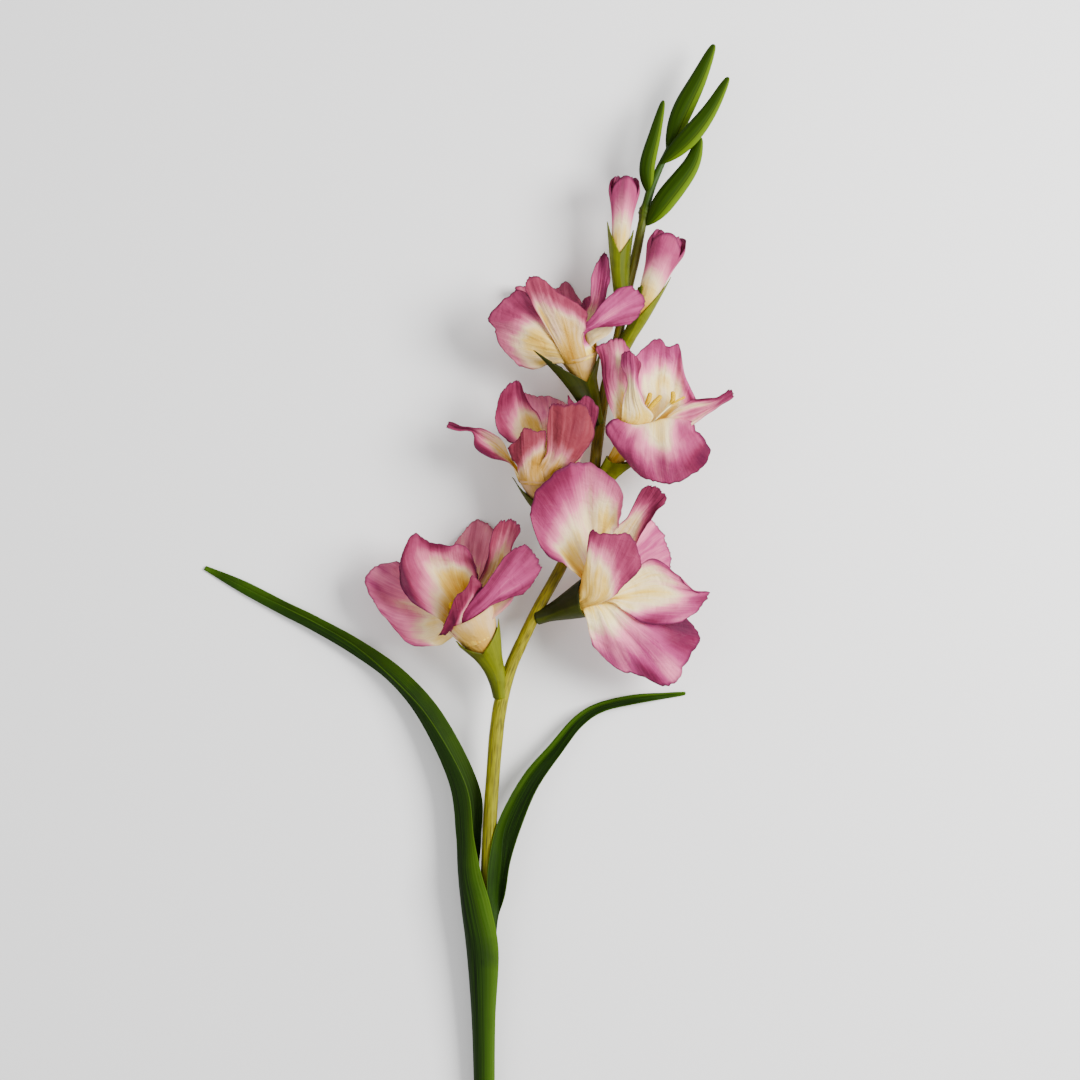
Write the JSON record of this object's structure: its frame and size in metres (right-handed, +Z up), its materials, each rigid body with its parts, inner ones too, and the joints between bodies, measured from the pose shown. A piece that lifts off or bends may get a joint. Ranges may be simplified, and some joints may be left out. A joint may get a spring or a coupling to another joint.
{
  "type": "cut gladiolus",
  "caption": "Cut gladiolus spike lying down: winding stem with sheathing leaves, ruffled open blooms in green bracts, opening buds and shut buds at the tip.",
  "frame": {"origin": "middle of the flat spot under the cut end, where the stem rests on the table", "axes": "+Y along the spike from the cut end to the top bud, +Z up from the table, +X to the right seen from above with the tip up"},
  "size_m": [0.3753, 0.8024, 0.0693],
  "materials": {
    "stem": "smooth living stalk",
    "leaf": "ribbed, satin",
    "tepal": "soft, finely veined",
    "bract": "ribbed, satin",
    "bud": "ribbed, satin",
    "stamen": "powdery"
  },
  "bodies": {
    "root": {"stem": "stem", "leaf_left": "leaf", "leaf_right": "leaf", "bloom_lower_left": "tepal", "bloom_lower_right": "tepal", "bloom_middle_left": "tepal", "bloom_middle_right": "tepal", "bloom_upper_left": "tepal", "bracts_lower_left": "bract", "bracts_lower_right": "bract", "bracts_middle_left": "bract", "bracts_middle_right": "bract", "bracts_upper_left": "bract", "bracts_opening_left": "bract", "bracts_opening_right": "bract", "stamens_lower_left": "stamen", "stamens_lower_right": "stamen", "stamens_middle_left": "stamen", "stamens_middle_right": "stamen", "stamens_upper_left": "stamen", "opening_bud_left": "tepal", "opening_bud_right": "tepal", "green_bud_lower_right": "bud", "green_bud_left": "bud", "green_bud_right": "bud", "green_bud_top": "bud"}
  },
  "joints": []
}
